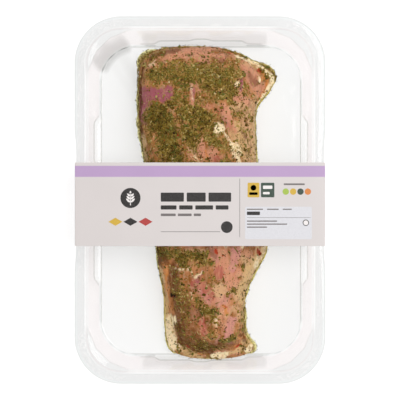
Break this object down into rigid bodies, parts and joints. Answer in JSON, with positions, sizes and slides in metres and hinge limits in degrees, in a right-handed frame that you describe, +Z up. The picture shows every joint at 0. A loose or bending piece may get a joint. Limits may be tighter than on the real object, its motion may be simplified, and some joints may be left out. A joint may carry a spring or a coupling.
{
  "type": "raw pork tenderloin in a clear tray pack",
  "caption": "Marinated raw pork tenderloin coated with chopped herbs, in a clear formed tray sealed with clear film, with a printed card sleeve round its middle.",
  "frame": {"origin": "middle of the pack's footprint, on the surface that it rests on", "axes": "+Z up through the clear film, +Y along the pack towards the thick end of the meat, +X to the right seen from above"},
  "size_m": [0.1502, 0.22, 0.0459],
  "materials": {
    "clear_tray": "clear thermoformed sheet, glossy",
    "clear_film": "clear lidding film, taut and glossy",
    "printed_card": null,
    "marinated_pork": "wet raw pork under an oily coat of chopped green-brown herbs"
  },
  "bodies": {
    "root": {"tray": "clear_tray", "lidding_film": "clear_film", "card_sleeve": "printed_card", "tenderloin": "marinated_pork"}
  },
  "joints": []
}
